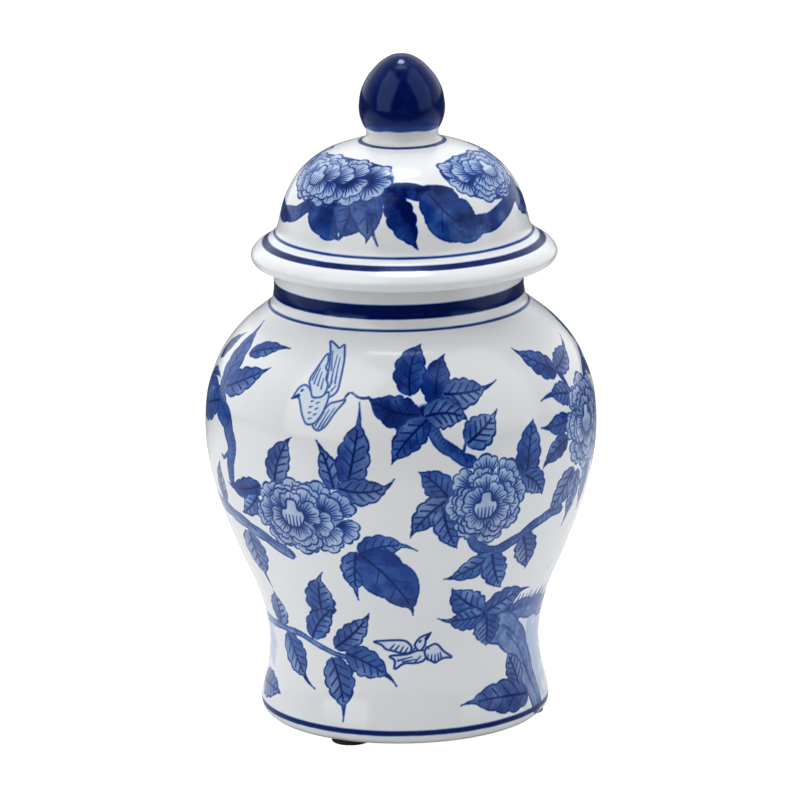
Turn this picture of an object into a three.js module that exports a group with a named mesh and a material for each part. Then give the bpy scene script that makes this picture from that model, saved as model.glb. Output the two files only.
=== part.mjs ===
// Covered ginger jar: a porcelain jar on four stick-on pads, with a loose domed lid and a bud knob.
// Millimetres, +Z up. The origin is on the surface the jar stands on, under the middle of the jar.
import * as THREE from 'three';

// Driving dimensions. Heights are measured from the surface the jar stands on.
const seam = 0.3;               // gap left wherever two pieces touch
const padThickness = 2.2;       // pad and its glue together: the height of the foot ring's flat
const padRadius = 8.75;
const padCircle = 54.5;           // radius of the circle that the pads stand on
const padAngles = [-27, 84, 168, 256];  // degrees round from the front, stuck on by hand

const wall = 5.2;               // thickness of the cast porcelain
const footInner = 49.5;         // inside edge of the foot ring
const footOuter = 62.4;         // outside edge of its flat
const recessRadius = 46;        // hollow under the base
const recessHeight = 7.5;
const floorHeight = 13.5;       // top of the floor inside
const floorRound = 14;          // how far the floor's corner curves up and in
const neckRadius = 56.3;
const rimHeight = 210.3;
const rimRound = 1;

const lidSlip = 2.6;            // the loose lid sits this far off centre, towards +X
const flangeUnder = rimHeight + seam;
const spigotDepth = 13;         // ring under the lid that keeps it on the neck
const spigotOuter = 47.4;
const spigotInner = 43.2;
const spigotBevel = 1.6;        // bevel on the lower edges of that ring
const seatRadius = 17.6;        // flat on top of the dome, under the knob
const seatHeight = 266.2;
const knobTip = 305.2;

const bodySegments = 56;
const knobSegments = 32;
const padSegments = 20;

// Colours and surface of the three materials.
const porcelain = { color: 0xe9ecf0, roughness: 0.12, metalness: 0 };
const cobalt = { color: 0x0b1c5e, roughness: 0.08, metalness: 0 };
const foam = { color: 0x121212, roughness: 0.95, metalness: 0 };

const toPoints = (pairs) => pairs.map(([radius, height]) => new THREE.Vector2(radius, height));

// A smooth outline through a few [radius, height] knots, cut into equal steps.
function smooth(knots, steps) {
  return new THREE.SplineCurve(toPoints(knots)).getSpacedPoints(steps);
}

// The outline moved sideways by the wall's thickness, to its left-hand side as it runs.
function offset(outline, distance) {
  return outline.map((point, index) => {
    const before = outline[Math.max(index - 1, 0)];
    const after = outline[Math.min(index + 1, outline.length - 1)];
    const along = after.clone().sub(before).normalize();
    return new THREE.Vector2(point.x - along.y * distance, point.y + along.x * distance);
  });
}

// A closed solid of revolution about +Z; the outline runs anticlockwise from axis to axis.
function turned(name, outline, segments, material) {
  const geometry = new THREE.LatheGeometry(outline, segments);
  geometry.rotateX(Math.PI / 2);
  const mesh = new THREE.Mesh(geometry, new THREE.MeshStandardMaterial(material));
  mesh.name = name;
  return mesh;
}

// Jar: flared foot, waist, full shoulder and a short straight neck.
function makeJar() {
  const outside = smooth([
    [footOuter, padThickness], [64.9, 4.6], [65.6, 8.5], [64.5, 14.5], [62.2, 25], [61.6, 40],
    [65.8, 59], [75.2, 81.5], [83.5, 104.5], [88.1, 127], [87.9, 147.5], [84.4, 161],
    [78.8, 172.3], [70.6, 182], [62.5, 188.6], [58.0, 192.5], [neckRadius + 0.2, 197.5],
    [neckRadius, 204], [neckRadius, rimHeight - rimRound],
  ], 30);
  const insideWall = offset(outside, wall)
    .filter((point, index) => index % 2 === 0 && point.y > floorHeight + floorRound)
    .reverse();
  const wallFoot = insideWall.at(-1);
  const corner = new THREE.QuadraticBezierCurve(
    wallFoot,
    new THREE.Vector2(wallFoot.x, floorHeight),
    new THREE.Vector2(wallFoot.x - floorRound, floorHeight),
  ).getPoints(4).slice(1);
  const neckBore = neckRadius - wall;
  const underside = toPoints([
    [0, recessHeight], [recessRadius, recessHeight], [footInner - 1.2, recessHeight - 1.6],
    [footInner, padThickness],
  ]);
  const rim = toPoints([
    [neckRadius - rimRound, rimHeight], [neckBore + rimRound, rimHeight],
    [neckBore, rimHeight - rimRound],
  ]);
  const outline = [
    ...underside, ...outside, ...rim, ...insideWall.slice(1), ...corner,
    new THREE.Vector2(0, floorHeight),
  ];
  return turned('jar_body', outline, bodySegments, porcelain);
}

// Lid: a dome on a rolled flange, with the spigot that drops into the neck.
function makeLid() {
  const spigotEnd = flangeUnder - spigotDepth;
  const outside = smooth([
    [64.2, flangeUnder], [67.6, 211.6], [69.0, 214.6], [66.9, 217.9], [63.2, 220.3],
    [59.5, 223.2], [57.2, 226.4], [55.7, 232], [53.4, 240], [48.9, 248.6], [43, 255.2],
    [35.8, 260], [27, 263.4], [seatRadius, seatHeight],
  ], 17);
  const inside = smooth([
    [0, 260.2], [14, 259.4], [27, 256.6], [36, 252], [42.5, 245.4], [47.2, 236.5],
    [49.2, 227], [47, 219.5], [spigotInner, 214],
  ], 9);
  const spigot = toPoints([
    [spigotInner, spigotEnd + spigotBevel], [spigotInner + spigotBevel, spigotEnd],
    [spigotOuter - spigotBevel, spigotEnd], [spigotOuter, spigotEnd + spigotBevel],
    [spigotOuter, flangeUnder],
  ]);
  const outline = [...inside, ...spigot, ...outside, new THREE.Vector2(0, seatHeight)];
  return turned('lid_shell', outline, bodySegments, porcelain);
}

// Knob: a pointed bud on a short waisted stem, luted to the flat on top of the dome.
function makeKnob() {
  const base = seatHeight + seam;
  const bud = smooth([
    [17.3, base], [16.2, base + 2], [16.3, 270.6], [17.9, 274], [19.1, 278], [19.3, 282.5],
    [18.3, 288.5], [15.9, 293.8], [12.8, 298], [8.9, 301.8], [4.4, 304.4], [0, knobTip],
  ], 15);
  bud.at(-1).x = 0;
  return turned('lid_knob', [new THREE.Vector2(0, base), ...bud], knobSegments, cobalt);
}

// Pad: a soft disc under the foot ring, its edges slightly rounded.
function makePad(index, degrees) {
  const top = padThickness - seam;
  const round = 0.4;
  const outline = toPoints([
    [0, 0], [padRadius - round, 0], [padRadius, round], [padRadius, top - round],
    [padRadius - round, top], [0, top],
  ]);
  const pad = turned(`foot_pad_${index + 1}`, outline, padSegments, foam);
  const angle = THREE.MathUtils.degToRad(degrees);
  pad.position.set(padCircle * Math.sin(angle), -padCircle * Math.cos(angle), 0);
  return pad;
}

const lid = new THREE.Group();
lid.position.x = lidSlip;
lid.add(makeLid(), makeKnob());

const jar = new THREE.Group();
jar.add(makeJar(), ...padAngles.map((degrees, index) => makePad(index, degrees)));

const gingerJar = new THREE.Group();
gingerJar.add(jar, lid);

export default gingerJar;
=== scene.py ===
"""A porcelain ginger jar with a loose domed lid, painted in cobalt blue with peonies, leaves and birds.

The jar, the lid and the knob are turned from the same outlines as the CAD nodes that they replace. The
painting is laid on their surfaces stroke by stroke, in degrees round from the front and mm of height, and
kept as a pigment strength at every vertex, which the glaze material turns into colour.
"""
import math

import bpy
import numpy as np
from mathutils import Matrix, Vector


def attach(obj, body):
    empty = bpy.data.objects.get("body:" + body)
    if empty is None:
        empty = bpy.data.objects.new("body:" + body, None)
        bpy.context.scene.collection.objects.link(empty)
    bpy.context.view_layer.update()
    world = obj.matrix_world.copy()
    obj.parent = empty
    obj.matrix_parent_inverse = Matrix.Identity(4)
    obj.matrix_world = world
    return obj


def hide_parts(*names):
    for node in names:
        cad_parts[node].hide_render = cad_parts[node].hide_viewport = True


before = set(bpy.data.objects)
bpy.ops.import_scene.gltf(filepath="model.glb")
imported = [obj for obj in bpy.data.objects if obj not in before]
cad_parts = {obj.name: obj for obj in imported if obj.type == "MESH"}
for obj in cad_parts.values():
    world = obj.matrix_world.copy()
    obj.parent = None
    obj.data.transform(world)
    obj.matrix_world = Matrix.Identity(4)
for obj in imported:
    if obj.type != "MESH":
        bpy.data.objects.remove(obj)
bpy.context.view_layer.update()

MM = 0.001
GRID = 0.42      # spacing of the vertices that carry the painting, mm
COARSE = 2.0                            # spacing where nothing is painted, mm
SEED = 12                               # of the clouds that mottle the pigment

# Heights and radii in mm, the same as the CAD's.
PAD_TOP = 2.2
HOLLOW = 7.5                            # height of the ceiling of the hollow under the base
HOLLOW_RADIUS = 46
FOOT_INSIDE = 49.5
FOOT_OUTSIDE = 62.4
FLOOR = 13.5
FLOOR_CORNER = 14                       # radius of the corner where the inside meets the floor
RIM = 210.3
NECK = 56.3
WALL = 5.2
FLANGE_UNDER = 210.6
SPIGOT_FOOT = 197.6
SPIGOT_INSIDE = 43.2
SPIGOT_OUTSIDE = 47.4
DOME_INSIDE = 260.2                     # height of the lid's inside on its axis
SEAT = 266.2                            # height of the flat on which the knob stands
LID_SLIP = 2.6                          # how far the lid sits off the jar's axis

# Two more in mm, of the visual model alone.
BUD_EDGE = 272.6                        # height down to which the bud was dipped in cobalt
NARROW = 4                              # radius of the smallest ring of a flat that closes on the axis

# Outlines as [radius, height] knots in mm, the same as the CAD's.
JAR_OUTSIDE = [
    [FOOT_OUTSIDE, PAD_TOP], [64.9, 4.6], [65.6, 8.5], [64.5, 14.5], [62.2, 25], [61.6, 40], [65.8, 59],
    [75.2, 81.5], [83.5, 104.5], [88.1, 127], [87.9, 147.5], [84.4, 161], [78.8, 172.3], [70.6, 182],
    [62.5, 188.6], [58.0, 192.5], [NECK + 0.2, 197.5], [NECK, 204], [NECK, RIM - 1],
]
LID_OUTSIDE = [
    [64.2, FLANGE_UNDER], [67.6, 211.6], [69.0, 214.6], [66.9, 217.9], [63.2, 220.3], [59.5, 223.2],
    [57.2, 226.4], [55.7, 232], [53.4, 240], [48.9, 248.6], [43, 255.2], [35.8, 260], [27, 263.4],
    [17.6, SEAT],
]
LID_INSIDE = [
    [14, 259.4], [27, 256.6], [36, 252], [42.5, 245.4], [47.2, 236.5], [49.2, 227], [47, 219.5],
    [SPIGOT_INSIDE, 214],
]
KNOB = [
    [18.2, SEAT + 0.05], [17.0, SEAT + 1.0], [16.2, SEAT + 2.4], [16.3, 270.8], [17.9, 274], [19.1, 278],
    [19.3, 282.5], [18.3, 288.5], [15.9, 293.8], [12.8, 298], [8.9, 301.8], [4.4, 304.4], [0.0, 305.2],
]


# ---------------------------------------------------------------- outlines and turned meshes

def spline(knots, steps=24):
    """A smooth curve through the knots, sampled finely."""
    knots = np.array(knots, float)
    ends = np.vstack([knots[:1], knots, knots[-1:]])
    t = np.linspace(0, 1, steps, endpoint=False)[:, None]
    parts = []
    for a, b, c, d in zip(ends[:-3], ends[1:-2], ends[2:-1], ends[3:]):
        bend = (2 * a - 5 * b + 4 * c - d) * t * t + (3 * b - a - 3 * c + d) * t ** 3
        parts.append(0.5 * (2 * b + (c - a) * t + bend))
    return np.vstack(parts + [knots[-1:]])


def spaced(curve, spacing):
    """The curve again, with its points an equal distance apart."""
    run = np.r_[0, np.cumsum(np.hypot(*np.diff(curve, axis=0).T))]
    at = np.linspace(0, run[-1], max(2, round(run[-1] / spacing) + 1))
    return np.column_stack([np.interp(at, run, curve[:, 0]), np.interp(at, run, curve[:, 1])])


def offset(curve, distance):
    """The curve moved to its left by a distance."""
    along = np.gradient(curve, axis=0)
    along /= np.linalg.norm(along, axis=1)[:, None]
    return curve + distance * np.column_stack([-along[:, 1], along[:, 0]])


def rounded(corners, radius, steps=5):
    """A polyline whose inner corners are rounded off."""
    corners = [np.array(c, float) for c in corners]
    points = [corners[0]]
    for before, corner, after in zip(corners[:-2], corners[1:-1], corners[2:]):
        back = (before - corner) / np.linalg.norm(before - corner)
        on = (after - corner) / np.linalg.norm(after - corner)
        reach = min(radius, np.linalg.norm(before - corner) / 2, np.linalg.norm(after - corner) / 2)
        start, end = corner + back * reach, corner + on * reach
        for t in np.linspace(0, 1, steps):
            points.append((1 - t) ** 2 * start + 2 * t * (1 - t) * corner + t * t * end)
    return np.array(points + [corners[-1]])


def turned(name, profile, columns, materials, slots, pigment, centre=0.0):
    """A closed mesh from a profile that starts and ends on the axis.

    profile is (n, 2) radius and height in mm, its first and last points on the axis. slots is one material
    index for each ring of faces. pigment is (n - 2, columns) strengths for the rings between the two poles.
    """
    rings = profile[1:-1]
    count = len(rings)
    turn = np.arange(columns) * 2 * math.pi / columns
    x = rings[:, :1] * np.sin(turn) + centre
    y = -rings[:, :1] * np.cos(turn)
    z = np.repeat(rings[:, 1:], columns, axis=1)
    grid = np.stack([x, y, z], -1).reshape(-1, 3)
    poles = np.array([[centre, 0, profile[0, 1]], [centre, 0, profile[-1, 1]]])
    places = np.vstack([grid, poles]) * MM

    column = np.arange(columns)
    beside = (column + 1) % columns
    low = np.arange(count - 1)[:, None] * columns
    quads = np.stack([low + column, low + beside, low + columns + beside, low + columns + column], -1)
    quads = quads.reshape(-1, 4)
    first, last = count * columns, count * columns + 1
    top = (count - 1) * columns
    caps = np.vstack([np.stack([np.full(columns, first), beside, column], -1),
                      np.stack([np.full(columns, last), top + column, top + beside], -1)])
    loops = np.r_[quads.ravel(), caps.ravel()]
    sizes = np.r_[np.full(len(quads), 4), np.full(len(caps), 3)]

    mesh = bpy.data.meshes.new(name)
    mesh.vertices.add(len(places))
    mesh.vertices.foreach_set("co", places.ravel())
    mesh.loops.add(len(loops))
    mesh.loops.foreach_set("vertex_index", loops)
    mesh.polygons.add(len(sizes))
    mesh.polygons.foreach_set("loop_start", np.r_[0, np.cumsum(sizes)[:-1]])
    face_slots = np.r_[np.repeat(slots[1:-1], columns), np.full(columns, slots[0]),
                       np.full(columns, slots[-1])]
    for material in materials:
        mesh.materials.append(material)
    mesh.polygons.foreach_set("material_index", face_slots)
    mesh.polygons.foreach_set("use_smooth", np.ones(len(sizes), bool))
    unroll(mesh, profile, columns)

    strength = mesh.attributes.new("pigment", "FLOAT", "POINT")
    strength.data.foreach_set("value", np.r_[pigment.ravel(), 0, 0].astype(np.float32))
    mesh.update()
    mesh.validate()
    piece = bpy.data.objects.new(name, mesh)
    bpy.context.scene.collection.objects.link(piece)
    return piece


def unroll(mesh, profile, columns):
    """Gives a turned mesh a map of once round by its whole profile."""
    run = np.r_[0, np.cumsum(np.hypot(*np.diff(profile, axis=0).T))]
    run /= run[-1]
    count = len(profile) - 2
    left = np.broadcast_to(np.arange(columns) / columns, (count - 1, columns))
    right = left + 1 / columns
    down = np.broadcast_to(run[1:-2, None], left.shape)
    up = np.broadcast_to(run[2:-1, None], left.shape)
    quad_uv = np.stack([left, down, right, down, right, up, left, up], -1).reshape(-1, 2)
    level = np.ones(columns)
    middle = left[0] + 0.5 / columns
    start = np.stack([middle, run[0] * level, right[0], run[1] * level, left[0], run[1] * level], -1)
    end = np.stack([middle, run[-1] * level, left[0], run[-2] * level, right[0], run[-2] * level], -1)
    layer = mesh.uv_layers.new(name="OFBake")
    layer.data.foreach_set("uv", np.vstack([quad_uv, start.reshape(-1, 2), end.reshape(-1, 2)]).ravel())


# ---------------------------------------------------------------- the painting

class Painting:
    """Pigment on a turned surface: a row for each ring of the outline, a column for each step round it."""

    def __init__(self, rings, columns, seed):
        self.radius = rings[:, 0]
        self.height = rings[:, 1]
        self.run = np.r_[0, np.cumsum(np.hypot(*np.diff(rings, axis=0).T))]
        self.columns = columns
        self.pigment = np.zeros((len(rings), columns), np.float32)
        self.step = self.run[1]
        self.mottle = self.clouds(7.0, seed)
        self.grain = self.clouds(1.6, seed + 1)

    def clouds(self, size, seed):
        """Soft random patches about 'size' mm across, from -1 to 1, that join up round the jar."""
        rng = np.random.default_rng(seed)
        rows, columns = self.pigment.shape
        noise = np.fft.rfft2(rng.standard_normal((rows, columns)))
        across = np.fft.rfftfreq(columns, 2 * math.pi * self.radius.mean() / columns)
        up = np.fft.fftfreq(rows, self.step)
        noise *= np.exp(-0.5 * (size * 1.6) ** 2 * (up[:, None] ** 2 + across ** 2))
        noise = np.fft.irfft2(noise, (rows, columns))
        return np.clip(noise / (2 * noise.std()), -1, 1).astype(np.float32)

    def place(self, origin, point):
        """A point given as (degrees, height) in mm right of and above another."""
        row = np.interp(point[1], self.height, np.arange(len(self.height)))
        radius = np.interp(row, np.arange(len(self.radius)), self.radius)
        turn = math.radians((point[0] - origin[0] + 180) % 360 - 180)
        return np.array([turn * radius, self.above(point[1]) - self.above(origin[1])])

    def above(self, height):
        """How far along the outline a height is, in mm."""
        return np.interp(height, self.height, self.run)

    def window(self, origin, low, high):
        """Row and column numbers inside a box round an origin, and their places in mm from it."""
        start = self.above(origin[1])
        rows = np.nonzero((self.run >= start + low[1]) & (self.run <= start + high[1]))[0]
        if not len(rows):
            return None
        narrowest = self.radius[rows].min()
        centre = math.radians(origin[0]) % (2 * math.pi) * self.columns / (2 * math.pi)
        per_mm = self.columns / (2 * math.pi * narrowest)
        columns = np.arange(math.floor(centre + low[0] * per_mm), math.ceil(centre + high[0] * per_mm) + 1)
        columns = columns[:self.columns]
        turn = (columns - centre) * 2 * math.pi / self.columns
        x = turn[None, :] * self.radius[rows][:, None]
        y = np.broadcast_to((self.run[rows] - start)[:, None], x.shape)
        return np.ix_(rows, columns % self.columns), x, y

    def edge(self, distance):
        """How much of a vertex's patch lies inside an edge, from a distance in mm that is positive inside."""
        return np.clip(distance / (1.6 * self.step) + 0.5, 0, 1)

    def lay(self, where, cover, tone):
        """Covers part of the surface with a tone."""
        self.pigment[where] += cover * (tone - self.pigment[where])

    def draw(self, where, cover, tone):
        """Lays a darker line over what is there."""
        self.pigment[where] = np.maximum(self.pigment[where], cover * tone)


def nearest(curve, x, y):
    """For each place: how far along the curve its nearest point is, 0 to 1, and the signed distance to it."""
    lengths = np.r_[0, np.cumsum(np.hypot(*np.diff(curve, axis=0).T))]
    best = np.full(x.shape, 1e9, np.float32)
    along = np.zeros(x.shape, np.float32)
    side = np.zeros(x.shape, np.float32)
    for a, b, start in zip(curve[:-1], curve[1:], lengths[:-1]):
        step = b - a
        size = math.hypot(*step) + 1e-9
        t = np.clip(((x - a[0]) * step[0] + (y - a[1]) * step[1]) / size ** 2, 0, 1)
        dx, dy = x - a[0] - t * step[0], y - a[1] - t * step[1]
        far = dx * dx + dy * dy
        closer = far < best
        best[closer] = far[closer]
        along[closer] = (start + t * size)[closer]
        side[closer] = np.sign(step[0] * dy - step[1] * dx)[closer]
    return along / lengths[-1], np.sqrt(best) * np.where(side < 0, -1, 1)


def arc(start, end, bend, steps=18):
    """A curve from start to end that bulges to its left by a part of its length."""
    start, end = np.array(start, float), np.array(end, float)
    chord = end - start
    middle = (start + end) / 2 + bend * np.array([-chord[1], chord[0]])
    t = np.linspace(0, 1, steps)[:, None]
    return (1 - t) ** 2 * start + 2 * t * (1 - t) * middle + t * t * end


def leaf(art, base, tip, width, tone, bend, tail, lobes, line=0.97, veins=True):
    """A lobed leaf from its stalk to its curling tip, with a dark edge, a midrib and side veins.

    bend bulges it to its left; tail is the part of its length that is a thin tip.
    """
    end = art.place(base, tip)
    length = math.hypot(*end)
    body = 1 - tail
    curve = arc((0, 0), end, bend)
    run = np.linspace(0, 1, len(curve))
    hook = -0.9 * bend * length * np.clip((run - body) / (tail + 0.01), 0, 1) ** 2 * tail * 2
    curve = curve + hook[:, None] * np.array([-end[1], end[0]]) / length
    found = art.window(base, curve.min(0) - width * 0.65 - 1, curve.max(0) + width * 0.65 + 1)
    if found is None:
        return
    where, x, y = found
    t, w = nearest(curve, x, y)
    swell = np.clip(t / body, 0, 1)
    shape = np.where(swell < 1, np.maximum(np.sin(math.pi * swell ** 0.8), 0) ** 0.6, 0)
    notch = np.abs(np.sin(math.pi * (lobes * swell + np.where(w > 0, 0.18, 0.55)))) ** 0.7
    thread = 1.15 * np.clip((1 - t) / (tail + 0.01), 0.2, 1)
    half = np.maximum(0.56 * width * shape * (0.86 + 0.17 * notch), np.where(t > 0.5 * body, thread, 0.3))
    mottle, grain = art.mottle[where], art.grain[where]
    inside = half - np.abs(w) + 0.12 * grain
    cover = art.edge(inside)
    shade = tone * (0.98 + 0.18 * mottle + 0.06 * grain)
    art.lay(where, cover, shade + 0.07 * np.clip(w / 4, -1, 1) + 0.12 * (1 - swell) ** 2)
    rim = 0.88 + 0.3 * mottle + 0.1 * grain
    art.draw(where, cover * art.edge(rim - inside), line)
    if not veins:
        return
    rib = 0.5 + 0.3 * (1 - swell)
    inner = (swell > 0.03) & (swell < 0.93)
    art.draw(where, cover * art.edge(rib - np.abs(w)) * inner, line)
    spacing = max(2.6, length * body / (lobes + 1.2))
    rising = (t * length - 0.8 * np.abs(w) + np.where(w > 0, 0.35, 0) * spacing) / spacing
    gap = np.abs(rising - np.round(rising)) * spacing * 0.8
    fan = (np.abs(w) < 0.70 * half) & inner & (np.round(rising) > 0)
    art.draw(where, cover * art.edge(0.48 - gap) * fan, line * 0.95)


def stroke(art, points, width, tone, taper, rough=0.0, outline=0.0, comb=0.0):
    """A brush stroke along a smooth line of (degrees, height) points.

    taper thins it towards its end; rough makes it knobbly; outline darkens its two edges; comb adds short
    strokes across it.
    """
    origin = points[0]
    curve = spaced(spline([art.place(origin, p) for p in points], 8), 1.6)
    where, x, y = art.window(origin, curve.min(0) - width - 1, curve.max(0) + width + 1)
    t, w = nearest(curve, x, y)
    length = np.hypot(*np.diff(curve, axis=0).T).sum()
    mottle, grain = art.mottle[where], art.grain[where]
    knobs = np.abs(np.sin(t * length / 4.3 + np.where(w > 0, 0.0, 1.3)))
    half = 0.5 * width * (1 - taper * t) * (1 + rough * (knobs - 0.5)) + 0.1 * grain
    inside = half - np.abs(w)
    cover = art.edge(inside)
    art.lay(where, cover, tone * (1 + 0.18 * mottle + 0.12 * grain) + 0.04 * (w > 0))
    if outline:
        art.draw(where, cover * art.edge(0.75 + 0.25 * mottle - inside), outline)
    if comb:
        gap = np.abs((t * length + 0.35 * w) / 1.9 % 1 - 0.5) * 1.9
        art.draw(where, cover * art.edge(0.34 - gap) * (w > 0), comb)


def softened(points, rounds=2):
    """A closed outline with its corners cut back, as a brush rounds them."""
    points = np.array(points, float)
    for _ in range(rounds):
        after = np.roll(points, -1, axis=0)
        points = np.stack([0.8 * points + 0.2 * after, 0.2 * points + 0.8 * after], 1).reshape(-1, 2)
    return np.vstack([points, points[:1]])


def patch(art, origin, points, tone, line, thickness=0.5):
    """A closed shape with an outline; its points are mm from the origin, anticlockwise."""
    curve = softened(points)
    where, x, y = art.window(origin, curve.min(0) - 1, curve.max(0) + 1)
    distance = np.abs(nearest(curve, x, y)[1])
    crossings = np.zeros(x.shape, int)
    for (ax, ay), (bx, by) in zip(curve[:-1], curve[1:]):
        spans = (ay > y) != (by > y)
        crossings += spans & (x < (bx - ax) * (y - ay) / (by - ay + 1e-12) + ax)
    inside = np.where(crossings % 2 == 1, distance, -distance)
    cover = art.edge(inside)
    art.lay(where, cover, tone * (1 + 0.3 * art.mottle[where]))
    art.draw(where, art.edge(inside + thickness * 0.5) * art.edge(thickness * 0.5 - inside), line)


def petal(art, centre, root, facing, length, tone, line, rng):
    """A broad scalloped petal opening outwards from its root, with comb strokes rising from the root."""
    where, x, y = art.window(centre, np.array(root) - length * 1.15, np.array(root) + length * 1.15)
    x, y = x - root[0], y - root[1]
    out = np.hypot(x, y)
    turn = (np.arctan2(y, x) - facing + math.pi) % (2 * math.pi) - math.pi
    mottle, grain = art.mottle[where], art.grain[where]
    spread = rng.uniform(0.95, 1.15)
    share = turn / spread
    bumps = int(rng.integers(3, 5))
    scallop = np.abs(np.cos(bumps * share * math.pi / 2 + rng.uniform(-0.2, 0.2))) ** 0.55
    border = length * (1 - np.clip(np.abs(share), 0, 1) ** 3.5) ** 0.45 * (0.86 + 0.14 * scallop)
    side = np.sin(np.clip((1 - np.abs(share)) * spread, 0, 1)) * out + 0.4
    inside = np.where(np.abs(share) < 1, np.minimum(border - out, side), -1) + 0.08 * grain
    cover = art.edge(inside)
    root_shade = 0.34 * (1 - out / length).clip(0, 1) ** 1.6
    art.lay(where, cover, tone * (1 + 0.28 * mottle + 0.15 * grain) + root_shade)
    art.draw(where, cover * art.edge(0.78 + 0.25 * mottle - inside), line)
    spokes = max(4, round(1.45 * spread * length / 1.7))
    spoke = (share + 1) / 2 * spokes + rng.uniform(0, 1)
    gap = np.abs(spoke - np.floor(spoke) - 0.5) * 2 * spread / spokes * out
    tips = length * (0.68 + 0.18 * (np.floor(spoke) * 7 % 3) / 2)
    thin = 0.5 * np.clip((tips - out) / (0.5 * length), 0, 1) ** 0.5
    art.draw(where, cover * art.edge(thin - gap) * (out < tips), line)


def peony(art, centre, width, height, petal_size, seed, lean=(0.0, 0.0), heavy=False):
    """A full blossom: rings of overlapping petals, the outermost first, round an upright heart.

    A heavy one has wider petals on a dark ground that shows between them.
    """
    ground = 0.95 if heavy else 0.34        # tone behind the petals
    fringe = 0.85 if heavy else 0.28        # how far out it shows, in petals
    gap = 1.25 if heavy else 1.0            # from petal to petal
    tuck = 0.22 if heavy else 0.0           # how far in the petals are rooted, in petals
    tone, line = 0.20, 0.94
    rng = np.random.default_rng(seed)
    half = np.array([width, height]) / 2
    heart = half * np.array(lean)
    where, x, y = art.window(centre, -half, half)
    filled = half - petal_size * (1 - fringe)
    within = (1 - np.hypot(x / filled[0], y / filled[1])) * filled.min()
    art.lay(where, art.edge(within), ground * (1 + 0.3 * art.mottle[where]))
    for share in (1.0, 0.7, 0.42, 0.16):
        reach = (half - petal_size) * share
        wide = np.hypot(*(reach + petal_size * 0.62)) * math.sqrt(2) * math.pi
        count = max(4, round(wide / (petal_size * 1.22 * gap)))
        first = rng.uniform(0, 6)
        for number in [*range(0, count, 2), *range(1, count, 2)]:
            turn = first + 2 * math.pi * number / count
            facing = math.atan2(math.sin(turn) / reach[1], math.cos(turn) / reach[0])
            ahead = np.array([math.cos(facing), math.sin(facing)]) * petal_size
            root = heart * (1 - share) + reach * (math.cos(turn), math.sin(turn)) - ahead * tuck
            length = petal_size * (rng.uniform(0.94, 1.06) + 0.8 * tuck)
            petal(art, centre, root, facing, length, tone, line, rng)
    tall = petal_size * 0.55
    bud = [(-0.5, -0.8), (0.5, -0.8), (1.0, 0.0), (0.85, 0.55), (0.45, 0.5), (0.4, 1.3), (-0.4, 1.3),
           (-0.45, 0.5), (-0.85, 0.55), (-1.0, 0.0)]
    patch(art, centre, [(heart[0] + px * tall, heart[1] + py * tall) for px, py in bud], tone, line, 0.9)
    for step in (-0.6, -0.3, 0.0, 0.3, 0.6):
        foot = (heart[0] + step * tall * 0.9, heart[1] - 0.72 * tall)
        dash(art, centre, foot, (foot[0] + step * 0.5, foot[1] + tall * 0.8), 0.8, line)


def dash(art, origin, start, end, width, tone):
    """A short straight stroke between two places in mm from an origin."""
    curve = np.array([start, end], float)
    where, x, y = art.window(origin, curve.min(0) - width, curve.max(0) + width)
    t, w = nearest(curve, x, y)
    art.draw(where, art.edge(0.5 * width * (1 - 0.5 * t) - np.abs(w)), tone)


def spray(art, points, width, leaves, size, tone=0.45, seed=0):
    """A branch with leaves set on alternate sides along it."""
    rng = np.random.default_rng(seed)
    stroke(art, points, width, tone, 0.55, 0.35, 0.9, comb=0.85 if width > 4 else 0)
    path = spline(points, 12)
    for number in range(leaves):
        at = int((number + 0.8) / leaves * (len(path) - 2))
        here, ahead = path[at], path[min(len(path) - 1, at + 3)]
        radius = np.interp(here[1], art.height, art.radius)
        heading = math.atan2(ahead[1] - here[1], math.radians(ahead[0] - here[0]) * radius)
        heading += (1 if number % 2 else -1) * math.radians(rng.uniform(38, 70))
        long = size * rng.uniform(0.85, 1.2)
        tip = (here[0] + math.degrees(math.cos(heading) * long / radius), here[1] + math.sin(heading) * long)
        leaf(art, tuple(here), tip, long * rng.uniform(0.42, 0.54), tone + rng.uniform(-0.06, 0.14),
             rng.uniform(-0.14, 0.14), 0.22, int(rng.integers(3, 6)))


def ring(art, height, width, tone):
    """A painted line right round, a little uneven; a broad one is thin where two turns of the brush meet."""
    across = (art.run - art.above(height))[:, None] + 0.05 * art.mottle
    thin = 0.2 * np.exp(-((across + 0.2 * width) / 0.4) ** 2) * (width > 5)
    cover = art.edge(width / 2 - np.abs(across))
    art.lay((slice(None), slice(None)), cover, tone * (1 - thin + 0.05 * art.mottle + 0.03 * art.grain))


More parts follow.
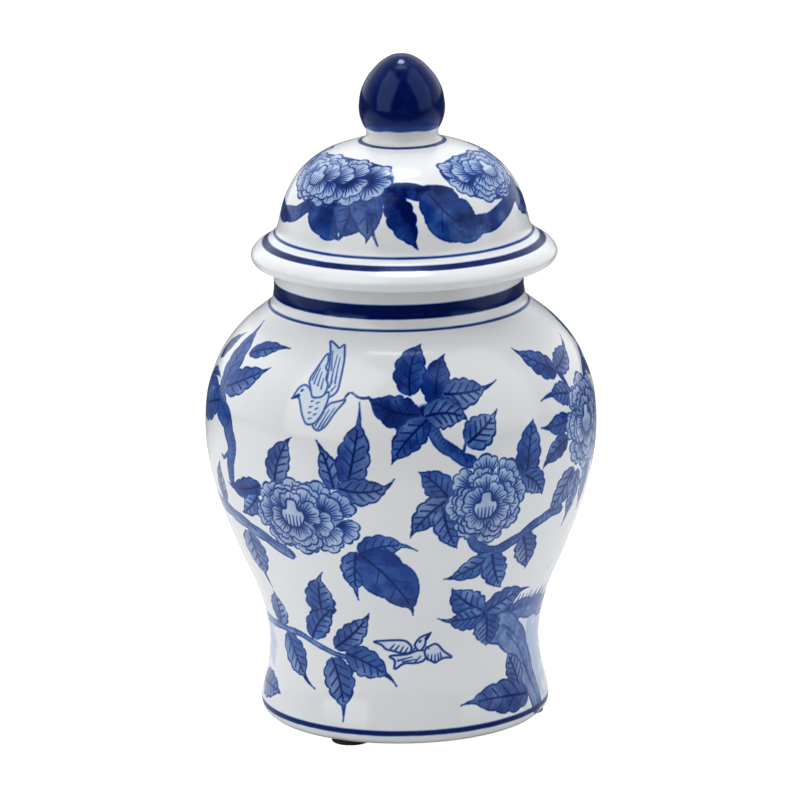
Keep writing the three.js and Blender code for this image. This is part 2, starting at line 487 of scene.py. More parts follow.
JAR_FRONT_LEAVES = [
    # base and tip as (degrees, height), width, tone, bend, tail
    ((-70, 158), (-72, 188), 13, 0.56, -0.12, 0.18),
    ((-63, 177), (-44, 183), 8, 0.56, 0.08, 0.22),
    ((-68, 161), (-48, 174), 12, 0.52, -0.06, 0.12),
    ((-86, 169), (-77, 182), 9, 0.56, 0.0, 0.15),
    ((-88, 160), (-75, 164), 6, 0.50, 0.10, 0.30),
    ((-69, 155), (-92, 144), 15, 0.55, 0.0, 0.10),
    ((-40, 126), (-34, 148), 12, 0.50, 0.12, 0.14),
    ((-20, 126), (-25, 148), 9, 0.40, -0.08, 0.20),
    ((-16, 128), (-12, 165), 14, 0.54, -0.06, 0.26),
    ((-19, 127), (-2, 130), 12, 0.46, -0.22, 0.20),
    ((-46, 123), (-63, 118), 10, 0.66, 0.16, 0.14),
    ((-48, 117), (-58, 106), 9, 0.38, 0.10, 0.10),
    ((-70, 106), (-68, 127), 9, 0.40, 0.10, 0.10),
    ((-14, 95), (4, 99), 12, 0.52, 0.20, 0.26),
    ((-15, 96), (-17, 71), 12, 0.50, -0.06, 0.24),
    ((-58, 97), (-58, 69), 16, 0.36, -0.05, 0.26),
    ((-61, 50), (-58, 67), 12, 0.36, -0.02, 0.10),
    ((-33, 59), (-29, 84), 14, 0.46, 0.12, 0.18),
    ((-41, 48), (-27, 65), 11, 0.48, 0.16, 0.12),
    ((-30, 45), (-13, 64), 10, 0.50, -0.08, 0.14),
    ((-25, 43), (-3, 30), 13, 0.50, 0.10, 0.26),
    ((-32, 40), (-25, 12), 14, 0.46, 0.06, 0.24),
    ((-57, 47), (-42, 23), 14, 0.44, -0.12, 0.30),
    ((-86, 17), (-62, 17), 12, 0.42, 0.06, 0.10),
    ((6, 160), (-10, 167), 14, 0.76, 0.18, 0.08),
    ((3, 168), (8, 187), 13, 0.64, 0.16, 0.06),
    ((11, 163), (16, 183), 12, 0.74, 0.14, 0.10),
    ((13, 168), (32, 170), 13, 0.44, -0.10, 0.28),
    ((7, 159), (20, 157), 13, 0.48, 0.22, 0.10),
    ((8, 158), (-3, 139), 12, 0.58, -0.10, 0.10),
    ((19, 146), (30, 159), 14, 0.42, -0.06, 0.16),
    ((14, 121), (5, 135), 12, 0.58, -0.10, 0.08),
    ((13, 121), (2, 104), 12, 0.46, -0.12, 0.14),
    ((12, 118), (17, 97), 11, 0.50, -0.10, 0.06),
    ((39, 126), (42, 152), 13, 0.56, 0.08, 0.04),
    ((38, 128), (46, 117), 11, 0.46, 0.16, 0.06),
    ((31, 92), (14, 81), 11, 0.48, 0.12, 0.14),
    ((30, 92), (37, 73), 12, 0.48, -0.08, 0.06),
    ((41, 98), (47, 80), 12, 0.42, 0.10, 0.08),
    ((59, 168), (44, 181), 12, 0.58, 0.08, 0.14),
    ((59, 169), (78, 178), 10, 0.46, -0.10, 0.28),
    ((63, 157), (47, 160), 10, 0.50, -0.10, 0.34),
    ((59, 147), (45, 147), 9, 0.58, 0.05, 0.20),
    ((57, 139), (45, 129), 9, 0.60, -0.12, 0.16),
    ((61, 124), (51, 106), 13, 0.40, 0.06, 0.06),
    ((64, 122), (62, 96), 10, 0.36, 0.05, 0.20),
    ((72, 126), (72, 100), 11, 0.46, 0.0, 0.15),
    ((32, 62), (17, 76), 13, 0.48, 0.10, 0.08),
    ((32, 60), (13, 60), 11, 0.48, 0.10, 0.28),
    ((33, 61), (54, 69), 13, 0.48, 0.12, 0.22),
    ((34, 59), (36, 44), 13, 0.50, 0.10, 0.04),
    ((60, 16), (23, 19), 14, 0.58, -0.06, 0.16),
    ((55, 21), (49, 37), 11, 0.46, -0.10, 0.04),
]


# Birds in mm from the middle of the body: closed shapes, short strokes, the beak and the eye.
RISING_BIRD = {
    # facing left with its wings up
    "shapes": [
        [(-1.5, -9.5), (0, -12.6), (2.6, -13.8), (6, -11.4), (9.4, -5), (14.2, 1.4), (10, 0), (6.4, -1),
         (3, -6)],
        [(3.4, 0), (9.2, 4), (9, 12), (8, 20), (6.4, 25), (5.0, 28.6), (3.6, 25.4), (1.4, 27.4), (-2.8, 30),
         (-0.4, 25), (1.4, 19), (2.6, 12)],
        [(-12.6, -0.6), (-9.4, 0.2), (-8.4, -1.6), (-6.6, -7), (-3.8, -11.6), (0.4, -10.8), (3.6, -6),
         (5.4, 0), (5.2, 4.6), (1.6, 1.6), (-2, 1), (-4.6, 4.6), (-7, 6.3), (-10, 4.8)],
        [(-2.6, 0.4), (3, 1.6), (4.2, 7), (2.0, 10), (2.2, 13.4), (0.4, 15), (0.8, 18.4), (-1.0, 23.4),
         (-3.4, 15), (-6.0, 8.4), (-4, 4.4)],
    ],
    "strokes": [
        ((-3, 7), (-2, 14.5)), ((-1, 6.4), (-0.6, 13)), ((1, 5), (1, 10)), ((5, 8), (4, 22)),
        ((7, 8), (5.6, 21)), ((3.6, 14), (1, 24)), ((-4.4, 8.6), (-2.6, 16)), ((1, -11.6), (4.6, -5)),
        ((2.4, -12.6), (6.6, -4)), ((4, -12), (9, -3)), ((-2.6, -1), (-1.6, -0.8)),
        ((0.2, -1.6), (1.4, -1)), ((-3, -3.6), (-1.8, -3.2)), ((0, -4.2), (1.2, -3.6)),
        ((-3.2, -6.2), (-2, -5.8)), ((-0.4, -6.8), (0.8, -6.2)), ((-2.8, -8.8), (-1.4, -8.4)),
        ((4.6, 6), (5.6, 9)), ((6, 4.6), (7.6, 7)),
    ],
    "beak": ((-9.6, 0.8), (-12.8, -0.8)),
    "eye": (-8.1, 3.4),
}
GLIDING_BIRD = {
    # a smaller one, facing right with its wings spread
    "shapes": [
        [(-20.4, 4.9), (-15.8, 3.4), (-14.2, 1.2), (-11.2, 0.6), (-7.8, -0.6), (-3.6, -0.6), (-3, 2.6),
         (-6.4, 6)],
        [(-0.8, 0.6), (-5, -1.2), (-13.4, -1.8), (-10, -3.8), (-10.8, -8.4), (-6.4, -5), (-1.6, -5.4),
         (2.4, -4.4), (3.6, 0.4)],
        [(2, 0.8), (3, -3.6), (5, -4.4), (6.8, -5.8), (9.2, -4.2), (11.2, -3.6), (14.8, -4), (10.4, -0.6),
         (8.2, 2.6), (6.4, 3.4)],
        [(-2.2, 3.2), (-0.6, 0.4), (1, 0.6), (2.6, 3.2), (2.8, 5.8), (4.8, 8.6), (0.2, 6.8)],
    ],
    "strokes": [
        ((-6, -0.2), (-4.8, 2)), ((-8, 0), (-6.6, 2.6)), ((-10, 1), (-8.4, 3.2)), ((-12, 1.6), (-10.4, 3.6)),
        ((3.6, -4), (3.8, -1.6)), ((5.2, -4.6), (5.4, -1.8)), ((6.8, -5.4), (6.8, -1.8)),
        ((8.4, -4.4), (8, -1.6)), ((9.6, -3.6), (9, -1)), ((-9, -4), (-3, -2.4)), ((-7, -4.6), (-1.6, -3.6)),
        ((-1.6, -4.6), (0.6, -2.2)), ((-2.6, 0.6), (-1.4, 2.4)), ((3, 2), (4.2, 1)),
    ],
    "beak": ((3, 6), (4.8, 8.7)),
    "eye": (0.5, 4.9),
}


def bird(art, at, kind, size, facing, tone, line, thickness=0.9):
    """A small bird in flight; facing -1 turns it to look the other way."""
    def spot(point):
        return point[0] * size * facing, point[1] * size

    for shape in kind["shapes"]:
        patch(art, at, [spot(p) for p in shape], tone, line, thickness)
    for start, end in kind["strokes"]:
        dash(art, at, spot(start), spot(end), 0.9 * thickness, line)
    dash(art, at, spot(kind["beak"][0]), spot(kind["beak"][1]), 1.6, 1.0)
    eye = spot(kind["eye"])
    dash(art, at, (eye[0] - 0.3, eye[1] - 0.2), (eye[0] + 0.3, eye[1] + 0.3), 1.1, 1.0)


def wash(art, centre, width, height, tone):
    """A pale patch of thin colour with soft edges."""
    where, x, y = art.window(centre, (-width, -height), (width, height))
    out = np.hypot(x / width, y / height) * 2 + 0.25 * art.mottle[where]
    art.draw(where, np.clip((1.1 - out) / 0.5, 0, 1) ** 1.5, tone)


def paint_jar_front(art):
    """The side in front: three peonies, two birds, leafy branches and an old tree."""
    wash(art, (70, 32), 38, 64, 0.17)
    wash(art, (-80, 40), 26, 30, 0.15)
    stroke(art, [(-92, 151), (-78, 155), (-68, 153), (-62, 146), (-59, 137), (-61, 121)], 16, 0.56, 0.72, 0.3,
           0.98, 0.9)
    stroke(art, [(-61, 133), (-64, 130), (-65, 131)], 2.5, 0.6, 0.5)
    stroke(art, [(-92, 103), (-76, 105), (-62, 102), (-50, 97), (-40, 91)], 7.0, 0.44, 0.15, 0.25, 0.92, 0.84)
    stroke(art, [(-92, 49), (-74, 49), (-58, 49), (-46, 48), (-36, 44), (-25, 41)], 4.4, 0.42, 0.5, 0.3, 0.88)
    stroke(art, [(7, 160), (9, 153), (13, 145), (20, 138)], 5.2, 0.62, -0.1, 0.3, 1.0, 0.94)
    stroke(art, [(21, 111), (22, 101), (27, 94), (33, 94), (40, 98), (48, 104), (57, 106)], 5.4, 0.54, 0.15,
           0.3, 0.98, 0.9)
    stroke(art, [(-10, 167), (-13, 167), (-16, 169), (-18, 165)], 1.2, 0.8, 0.5)
    stroke(art, [(19, 147), (18, 142), (19, 138)], 1.3, 0.8, 0.2)
    stroke(art, [(59, 170), (61, 164), (62, 154)], 3.0, 0.75, 0.0)
    stroke(art, [(36, 57), (46, 57.5), (60, 57), (76, 54), (92, 53)], 11, 0.46, 0.1, 0.3, 0.86, 0.86)
    for number in range(21):                # the teeth along the top of the old branch
        foot = 38 + number * 1.6 + 0.5 * math.sin(number * 2.4)
        top = 64.6 + 1.4 * math.sin(number * 1.9)
        stroke(art, [(foot, 59), (foot + 0.4, 61.5), (foot + 1.4, top)], 1.7, 0.82 - 0.012 * number, 0.8)
    stroke(art, [(40, 53), (49, 47), (57, 38), (62, 27), (66, 10)], 17, 0.40, 0.40, 0.12, 0.88)
    cracks = (((44, 52), (56, 42)), ((47, 47.5), (60, 33)), ((56, 40), (64, 20)), ((60, 30), (66, 14)))
    for start, end in cracks:
        stroke(art, [start, ((start[0] + end[0]) / 2 + 1, (start[1] + end[1]) / 2), end], 0.9, 0.66, 0.6)
    wash(art, (33, 61), 9, 9, 0.9)
    wash(art, (7, 160), 9, 9, 0.98)
    for base, tip, width, tone, bend, tail in JAR_FRONT_LEAVES:
        leaf(art, base, tip, width, tone, bend, tail, 4 if width > 9 else 3)
    leaf(art, (-14, 95), (4, 64), 22, 0.66, 0.16, 0.10, 2)
    peony(art, (-31, 111), 57, 39, 12.0, 6, (-0.2, -0.02))
    peony(art, (26, 119), 41, 44, 11.4, 5, (-0.05, -0.18))
    peony(art, (72, 142), 48, 46, 11.4, 7, (-0.1, 0.0))
    bird(art, (-26.5, 165), RISING_BIRD, 1.0, 1, 0.075, 0.78, 0.75)
    bird(art, (6, 45), GLIDING_BIRD, 1.06, 1, 0.09, 0.92, 0.85)


def paint_jar_back(art):
    """The far side: three peonies, two birds, and sprays that meet the front's at both edges."""
    stroke(art, [(90, 53), (104, 54), (118, 50), (126, 40), (131, 26)], 10, 0.44, 0.85, 0.3, 0.85, 0.75)
    spray(art, [(78, 132), (94, 122), (110, 112), (124, 112), (140, 104), (150, 92)], 6, 8, 21, 0.50, 21)
    spray(art, [(76, 158), (88, 168), (102, 169), (114, 162), (122, 150)], 5, 5, 19, 0.52, 22)
    spray(art, [(268, 151), (252, 158), (238, 152), (228, 140), (220, 122)], 10, 7, 21, 0.54, 23)
    spray(art, [(268, 103), (252, 102), (240, 92), (228, 86)], 6, 5, 20, 0.46, 24)
    spray(art, [(268, 49), (250, 46), (232, 44), (216, 36), (204, 38)], 4, 8, 20, 0.48, 25)
    spray(art, [(116, 51), (128, 58), (142, 54), (156, 46), (168, 34), (180, 30)], 5, 8, 20, 0.50, 26)
    spray(art, [(156, 148), (166, 162), (178, 169), (190, 162), (202, 165)], 5, 7, 19, 0.58, 27)
    spray(art, [(206, 100), (198, 86), (186, 74), (174, 68)], 4.4, 6, 18, 0.48, 28)
    peony(art, (150, 136), 56, 41, 10.0, 11, (0.1, -0.1))
    peony(art, (206, 112), 47, 43, 9.8, 13, (-0.1, 0.05))
    peony(art, (112, 84), 44, 38, 9.6, 15, (0.0, 0.1))
    bird(art, (234, 172), RISING_BIRD, 0.8, -1, 0.08, 0.78)
    bird(art, (160, 80), GLIDING_BIRD, 0.9, -1, 0.09, 0.9)


def paint_lid(art):
    """Two peonies at the front and two behind, joined by heavy dark leaves that hang to the rim."""
    for turn, seed in ((0, 31), (180, 41)):
        stroke(art, [(turn - 104, 245), (turn - 92, 238), (turn - 76, 236), (turn - 62, 239),
                     (turn - 48, 246)], 7.5, 0.72, 0, 0.2, 0.95)
        leaf(art, (turn - 47, 250), (turn - 31, 231), 16.5, 0.74, -0.20, 0.08, 2, veins=False)
        leaf(art, (turn - 24, 256), (turn - 31, 231), 20, 0.68, 0.10, 0.08, 3)
        leaf(art, (turn - 26, 254), (turn - 17, 231), 14, 0.62, 0.16, 0.08, 2)
        stroke(art, [(turn - 17, 243), (turn - 15, 236), (turn - 12, 229.5)], 3.4, 0.80, 0.9)
        stroke(art, [(turn - 40, 249), (turn - 26, 250), (turn - 15, 248)], 11, 0.70, 0, 0.2)
        stroke(art, [(turn - 24, 254.6), (turn - 14, 253.4), (turn + 2, 252.4), (turn + 24, 250)],
               7.4, 0.92, 0, 0.25, 1.0)
        leaf(art, (turn - 6, 251), (turn + 6, 228), 11.8, 0.90, -0.06, 0.10, 4, line=1.0, veins=False)
        leaf(art, (turn + 13, 252), (turn + 40, 232), 19.5, 0.74, -0.22, 0.04, 2)
        stroke(art, [(turn + 30, 236), (turn + 40, 236), (turn + 50, 237.4), (turn + 61, 241.4),
                     (turn + 80, 247)], 9, 0.70, 0.2, 0.15, 0.98, 0.95)
        leaf(art, (turn + 72, 245), (turn + 84, 231), 12, 0.50, 0.1, 0.15, 3)
        peony(art, (turn - 48, 255.2), 64, 31, 9.8, seed, (-0.3, -0.1), heavy=True)
        peony(art, (turn + 58, 255.4), 50, 31, 9.4, seed + 2, (0.2, 0.0), heavy=True)


# ---------------------------------------------------------------- materials

class Graph:
    """The nodes of a material or of the world, with one short call for each kind that is used here."""

    def __init__(self, owner):
        owner.use_nodes = True
        self.nodes = owner.node_tree.nodes
        self.links = owner.node_tree.links

    def feed(self, socket, value):
        """Gives a socket a number, a colour or the output of another node."""
        if isinstance(value, (int, float)):
            socket.default_value = value
        elif isinstance(value, tuple):
            socket.default_value = (*value, 1)
        else:
            self.links.new(value, socket)

    def noise(self, place, scale, detail, rough):
        """Soft random clouds, from 0 to 1."""
        node = self.nodes.new("ShaderNodeTexNoise")
        for name, value in (("Vector", place), ("Scale", scale), ("Detail", detail), ("Roughness", rough)):
            self.feed(node.inputs[name], value)
        return node.outputs[0]

    def cells(self, place, scale):
        """Random cells: the distance to the middle of each one, and a colour of its own."""
        node = self.nodes.new("ShaderNodeTexVoronoi")
        self.feed(node.inputs["Vector"], place)
        self.feed(node.inputs["Scale"], scale)
        return node.outputs["Distance"], node.outputs["Color"]

    def ramp(self, value, stops):
        """A value turned into a colour that runs from stop to stop."""
        node = self.nodes.new("ShaderNodeValToRGB")
        band = node.color_ramp.elements
        band[0].position, band[0].color = stops[0][0], (*stops[0][1], 1)
        band[1].position, band[1].color = stops[-1][0], (*stops[-1][1], 1)
        for position, colour in stops[1:-1]:
            band.new(position).color = (*colour, 1)
        self.feed(node.inputs[0], value)
        return node.outputs[0]

    def maths(self, operation, first, second=0.0, clamp=False):
        """The result of a sum on one or two values."""
        node = self.nodes.new("ShaderNodeMath")
        node.operation = operation
        node.use_clamp = clamp
        self.feed(node.inputs[0], first)
        self.feed(node.inputs[1], second)
        return node.outputs[0]

    def plus(self, first, second):
        return self.maths("ADD", first, second)

    def times(self, first, second):
        return self.maths("MULTIPLY", first, second)

    def mix(self, share, first, second):
        """One colour, or the other where the share is 1."""
        node = self.nodes.new("ShaderNodeMix")
        node.data_type = "RGBA"
        colours = [socket for socket in node.inputs if socket.type == "RGBA"]
        self.feed(node.inputs[0], share)
        self.feed(colours[0], first)
        self.feed(colours[1], second)
        return [socket for socket in node.outputs if socket.type == "RGBA"][0]

    def bump(self, height, strength, distance):
        """A normal tilted by a height."""
        node = self.nodes.new("ShaderNodeBump")
        for name, value in (("Height", height), ("Strength", strength), ("Distance", distance)):
            self.feed(node.inputs[name], value)
        return node.outputs[0]


def new_material(name):
    """A material, its graph and the inputs of its shader."""
    material = bpy.data.materials.new(name)
    graph = Graph(material)
    return material, graph, graph.nodes["Principled BSDF"].inputs


def grey(level):
    """A colour with equal parts of red, green and blue."""
    return level, level, level


WHITE = (0.82, 0.838, 0.856)
SPECK = (0.16, 0.11, 0.08)
COBALT_SHEEN = (0.40, 0.64, 1.0)         # tint of what is mirrored in the heaviest cobalt
# Two cobalts, each from no pigment over a thin wash to the heaviest stroke.
ROYAL = [(0.0, WHITE), (0.10, (0.58, 0.68, 0.82)), (0.26, (0.25, 0.38, 0.64)), (0.5, (0.034, 0.115, 0.38)),
         (0.72, (0.004, 0.040, 0.26)), (1.0, (0.0008, 0.005, 0.080))]
SLATE = [(0.0, WHITE), (0.10, (0.58, 0.66, 0.79)), (0.26, (0.27, 0.37, 0.60)), (0.5, (0.052, 0.112, 0.34)),
         (0.72, (0.011, 0.037, 0.21)), (1.0, (0.0012, 0.005, 0.070))]


def pigment_strength(graph, place):
    """The strength that was painted, uneven from the brush and from pooling."""
    painted = graph.nodes.new("ShaderNodeAttribute")
    painted.attribute_name = "pigment"
    streaks = graph.plus(graph.noise(place, 420, 4, 0.6), -0.5)
    pools = graph.plus(graph.noise(place, 95, 3, 0.55), -0.5)
    uneven = graph.plus(graph.times(streaks, 0.22), graph.times(pools, 0.32))
    return graph.maths("MULTIPLY", painted.outputs["Fac"], graph.plus(uneven, 1.0), clamp=True)


def kiln_specks(graph, place):
    """Where the glaze holds a small speck, from 0 to 1."""
    distance, colour = graph.cells(place, 45)
    small = graph.maths("LESS_THAN", distance, 0.022)
    rare = graph.maths("GREATER_THAN", colour, 0.72)
    return graph.times(graph.times(small, rare), 0.75)


def glaze_material():
    """Clear glaze over white porcelain with cobalt painting under it."""
    material, graph, shader = new_material("cobalt_glaze")
    place = graph.nodes.new("ShaderNodeTexCoord").outputs["Object"]
    strength = pigment_strength(graph, place)
    patches = graph.ramp(graph.noise(place, 26, 2, 0.5), [(0.42, grey(0)), (0.60, grey(1))])
    painted = graph.mix(patches, graph.ramp(strength, ROYAL), graph.ramp(strength, SLATE))
    graph.feed(shader["Base Color"], graph.mix(kiln_specks(graph, place), painted, SPECK))
    ripple = graph.noise(place, 34, 1.5, 0.5)
    graph.feed(shader["Normal"], graph.bump(ripple, 0.06, 0.002))

    heavy = graph.times(strength, strength)
    smears = graph.ramp(graph.noise(place, 60, 3, 0.6), [(0.3, grey(0.09)), (0.8, grey(0.16))])
    graph.feed(shader["Roughness"], graph.plus(smears, graph.times(heavy, 0.03)))
    graph.feed(shader["Specular IOR Level"], graph.plus(graph.times(heavy, -0.20), 0.5))
    graph.feed(shader["Specular Tint"], graph.mix(strength, grey(1.0), COBALT_SHEEN))
    shader["IOR"].default_value = 1.5
    shader["Subsurface Weight"].default_value = 0.08
    shader["Subsurface Radius"].default_value = (0.004, 0.004, 0.005)
    return material


def bisque_material():
    """Bare fired clay where the ware stood in the kiln: off-white, dry, faintly soiled."""
    material, graph, shader = new_material("bare_porcelain")
    place = graph.nodes.new("ShaderNodeTexCoord").outputs["Object"]
    soil = graph.noise(place, 70, 5, 0.65)
    tint = graph.ramp(soil, [(0.3, (0.46, 0.42, 0.36)), (0.55, (0.66, 0.64, 0.60)),
                             (0.8, (0.74, 0.73, 0.71))])
    graph.feed(shader["Base Color"], tint)
    grit = graph.noise(place, 1400, 3, 0.6)
    graph.feed(shader["Normal"], graph.bump(grit, 0.35, 0.0003))
    shader["Roughness"].default_value = 0.85
    return material


def foam_material():
    """Black closed-cell foam: matt, finely pitted, with painted shade that darkens the bottom of each pit."""
    material, graph, shader = new_material("black_foam")
    place = graph.nodes.new("ShaderNodeTexCoord").outputs["Object"]
    pits_and_pit_shade, _ = graph.cells(place, 1500)
    # painted shade: the colour runs from near black at the bottom of each pit to a little lighter at its rim
    graph.feed(shader["Base Color"], graph.ramp(pits_and_pit_shade, [(0.0, grey(0.004)), (0.6, (0.016, 0.016, 0.017))]))
    graph.feed(shader["Normal"], graph.bump(pits_and_pit_shade, 0.6, 0.0002))
    shader["Roughness"].default_value = 0.95
    return material


# ---------------------------------------------------------------- the pieces

# Painted rings: height and width in mm, and tone.
JAR_RINGS = [(7.8, 2.2, 1.0), (191.8, 1.1, 0.92), (199.7, 6.3, 1.12)]
LID_RINGS = [(220.8, 3.2, 1.0), (224.6, 1.0, 0.9), (265.8, 1.6, 1.0)]


def painting_on(outside, widest, seed):
    """A blank painting on an outline, with columns about GRID apart where the outline is widest."""
    return Painting(outside, 8 * round(2 * math.pi * widest / GRID / 8), seed)


def along_profile(art, profile, start):
    """The painting's pigment on the rows of a profile from 'start' on, and none on the others."""
    pigment = np.zeros((len(profile) - 2, art.columns), np.float32)
    pigment[start:start + len(art.pigment)] = art.pigment
    return pigment


def make_jar(glaze, bisque):
    """The jar, painted outside, glazed inside and under the base, bare on its foot ring."""
    outside = spaced(spline(JAR_OUTSIDE), GRID)
    inside = spaced(offset(spline(JAR_OUTSIDE), WALL), COARSE)
    inside = inside[inside[:, 1] > FLOOR + FLOOR_CORNER][::-1]
    wall_foot = inside[-1]
    corner = [wall_foot, (wall_foot[0], FLOOR), (wall_foot[0] - FLOOR_CORNER, FLOOR)]
    corner = rounded(corner, FLOOR_CORNER, 12)[1:]
    floor = [(wall_foot[0] - FLOOR_CORNER - 10, FLOOR), (NARROW, FLOOR), (0, FLOOR)]
    under = rounded([(NARROW, HOLLOW), (HOLLOW_RADIUS, HOLLOW), (FOOT_INSIDE - 1.2, HOLLOW - 1.6),
                     (FOOT_INSIDE, PAD_TOP), (FOOT_OUTSIDE, PAD_TOP)], 1.0)[:-1]
    rim = rounded([(NECK, RIM - 1), (NECK, RIM), (NECK - WALL, RIM), (NECK - WALL, RIM - 1)], 1.0)[1:-1]
    profile = np.vstack([[(0, HOLLOW)], under, outside, rim, inside[1:], corner, floor])

    art = painting_on(outside, 88, SEED)
    paint_jar_back(art)
    paint_jar_front(art)
    for height, width, tone in JAR_RINGS:
        ring(art, height, width, tone)
    heights = (profile[:-1, 1] + profile[1:, 1]) / 2
    number = np.arange(len(heights))
    bare = (heights < PAD_TOP + 1.2) & (number < len(under) + 5)
    jar = turned("jar_shell", profile, art.columns, [glaze, bisque], bare.astype(int),
                 along_profile(art, profile, len(under)))
    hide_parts("jar_body")
    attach(jar, "jar")


def make_lid(glaze, bisque):
    """The lid, painted on its dome, with a bare spigot and seat under the flange."""
    outside = spaced(spline(LID_OUTSIDE), GRID)
    inside = spaced(spline(LID_INSIDE), COARSE)
    spigot = rounded([LID_INSIDE[-1], (SPIGOT_INSIDE, SPIGOT_FOOT), (SPIGOT_OUTSIDE, SPIGOT_FOOT),
                      (SPIGOT_OUTSIDE, FLANGE_UNDER), LID_OUTSIDE[0]], 1.5)[1:-1]
    seat = [(NARROW, SEAT + 0.2), (0, SEAT + 0.2)]
    profile = np.vstack([[(0, DOME_INSIDE)], inside, spigot, outside, seat])

    art = painting_on(outside, 69, SEED + 5)
    paint_lid(art)
    for height, width, tone in LID_RINGS:
        ring(art, height, width, tone)
    start = len(inside) + len(spigot)
    number = np.arange(len(profile) - 1)
    bare = (number > len(inside) + 2) & (number < start + 1)
    lid = turned("lid_dome", profile, art.columns, [glaze, bisque], bare.astype(int),
                 along_profile(art, profile, start), LID_SLIP)
    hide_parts("lid_shell")
    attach(lid, "lid")


def make_knob(glaze):
    """The bud, dipped in cobalt down to its stem."""
    outside = spaced(spline(KNOB), GRID)[:-1]
    stem_foot = SEAT + 0.05
    profile = np.vstack([[(0, stem_foot), (9, stem_foot)], outside, [KNOB[-1]]])

    art = painting_on(outside, 19, SEED + 9)
    above = art.height[:, None] - (BUD_EDGE + 0.5 * art.mottle)
    thick = 0.72 + 0.28 * np.clip(above / 5, 0, 1)
    art.lay((slice(None), slice(None)), art.edge(above), thick)
    knob = turned("bud_knob", profile, art.columns, [glaze], np.zeros(len(profile) - 1, int),
                  along_profile(art, profile, 1), LID_SLIP)
    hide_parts("lid_knob")
    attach(knob, "lid")


def make_pads(foam):
    """The CAD pads are the right shape; they take the foam material."""
    for name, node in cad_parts.items():
        if name.startswith("foot_pad"):
            node.data.materials.clear()
            node.data.materials.append(foam)


# ---------------------------------------------------------------- studio

FLOOR_REACH = 12                        # from the middle to each edge, m
# Tall soft panels left and right of the camera, and a broad one overhead with two small bright lamps.
PANELS = [
    # name, shape, degrees round, distance, height of the middle and size in m, radiance
    ("left_panel", "RECTANGLE", -50, 1.4, 1.10, (1.4, 2.3), 1.8),
    ("right_panel", "RECTANGLE", 66, 1.4, 1.10, (1.4, 2.3), 1.25),
    ("top_panel", "RECTANGLE", 0, 0.05, 1.70, (1.1, 0.6), 0.4),
    ("top_lamp", "ELLIPSE", 180, 0.34, 1.65, (0.39, 0.32), 17),
    ("front_lamp", "ELLIPSE", 0, 0.10, 1.65, (0.70, 0.22), 3.2),
]


def make_camera():
    """A long lens, looking a little down on the jar and turned a touch round its line of sight."""
    camera = bpy.data.objects.new("camera", bpy.data.cameras.new("camera"))
    bpy.context.scene.collection.objects.link(camera)
    camera.data.lens = 306
    camera.data.sensor_width = 36
    distance, elevation, roll = 3.077, math.radians(14.2), math.radians(-0.9)
    target = Vector((-0.0003, 0, 0.1455))
    away = Vector((0, -math.cos(elevation), math.sin(elevation)))
    camera.location = target + away * distance
    facing = (target - camera.location).to_track_quat("-Z", "Y")
    camera.matrix_world = (Matrix.Translation(camera.location) @ facing.to_matrix().to_4x4()
                           @ Matrix.Rotation(roll, 4, "Z"))
    bpy.context.scene.camera = camera


def make_panel(name, shape, turn, distance, middle, size, radiance):
    """A soft panel facing the jar, 'turn' degrees to the camera's right and 'middle' m above the floor."""
    light = bpy.data.lights.new(name, "AREA")
    light.shape = shape
    light.size, light.size_y = size
    light.energy = radiance * math.pi * size[0] * size[1]
    panel = bpy.data.objects.new(name, light)
    turn = math.radians(turn)
    panel.location = (distance * math.sin(turn), -distance * math.cos(turn), middle)
    facing = Vector((0, 0, 0.16)) - panel.location
    panel.rotation_euler = facing.to_track_quat("-Z", "Y").to_euler()
    bpy.context.scene.collection.objects.link(panel)


def seen_by_camera(graph):
    """1 for what the camera sees directly, 0 for what is mirrored or lights something."""
    return graph.nodes.new("ShaderNodeLightPath").outputs["Is Camera Ray"]


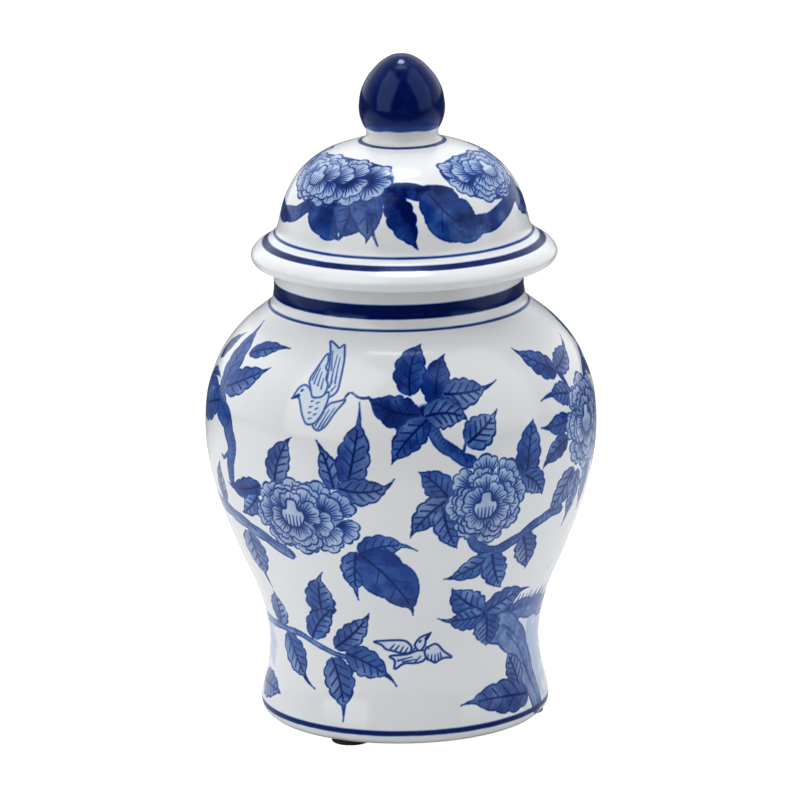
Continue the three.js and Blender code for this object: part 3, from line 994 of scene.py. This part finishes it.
def make_floor():
    """A white table that ends in the dark in front of the jar and behind it.

    The camera sees its dark parts too as a plain white ground.
    """
    corners = [(-1, -1), (1, -1), (1, 1), (-1, 1)]
    mesh = bpy.data.meshes.new("floor")
    mesh.from_pydata([(x * FLOOR_REACH, y * FLOOR_REACH, 0) for x, y in corners], [], [(0, 1, 2, 3)])
    floor = bpy.data.objects.new("floor", mesh)
    bpy.context.scene.collection.objects.link(floor)
    material, graph, shader = new_material("white_floor")
    axes = graph.nodes.new("ShaderNodeSeparateXYZ")
    graph.feed(axes.inputs[0], graph.nodes.new("ShaderNodeTexCoord").outputs["Object"])
    from_jar = graph.maths("ABSOLUTE", axes.outputs[1])
    graph.feed(shader["Base Color"], graph.ramp(from_jar, [(0.34, grey(0.85)), (0.56, grey(0.12))]))
    shader["Roughness"].default_value = 1.0
    shader["Specular IOR Level"].default_value = 0.0
    shader["Emission Color"].default_value = (1, 1, 1, 1)
    graph.feed(shader["Emission Strength"], seen_by_camera(graph))
    floor.data.materials.append(material)


def make_world():
    """Dark on the camera's side and brighter towards the back, but for a dim patch straight behind the jar.

    The glaze mirrors that and the panels; the camera itself sees plain white.
    """
    world = bpy.data.worlds.new("studio")
    graph = Graph(world)
    axes = graph.nodes.new("ShaderNodeSeparateXYZ")
    graph.feed(axes.inputs[0], graph.nodes.new("ShaderNodeTexCoord").outputs["Generated"])
    backwards = graph.times(graph.plus(axes.outputs[1], 1.0), 0.5)
    sky = graph.ramp(backwards, [(0.0, grey(0.02)), (0.36, grey(0.06)), (0.48, (0.32, 0.33, 0.34)),
                                 (0.70, (0.75, 0.76, 0.78)), (0.94, (1.1, 1.12, 1.15)),
                                 (0.985, (0.25, 0.26, 0.28))])
    graph.feed(graph.nodes["Background"].inputs[0], graph.mix(seen_by_camera(graph), sky, grey(1.0)))
    bpy.context.scene.world = world


def make_studio():
    """The floor, the world and the lights."""
    make_floor()
    make_world()
    for panel in PANELS:
        make_panel(*panel)
    bpy.context.scene.view_settings.view_transform = "Standard"


make_camera()
make_studio()
glaze = glaze_material()
bisque = bisque_material()
make_jar(glaze, bisque)
make_lid(glaze, bisque)
make_knob(glaze)
make_pads(foam_material())
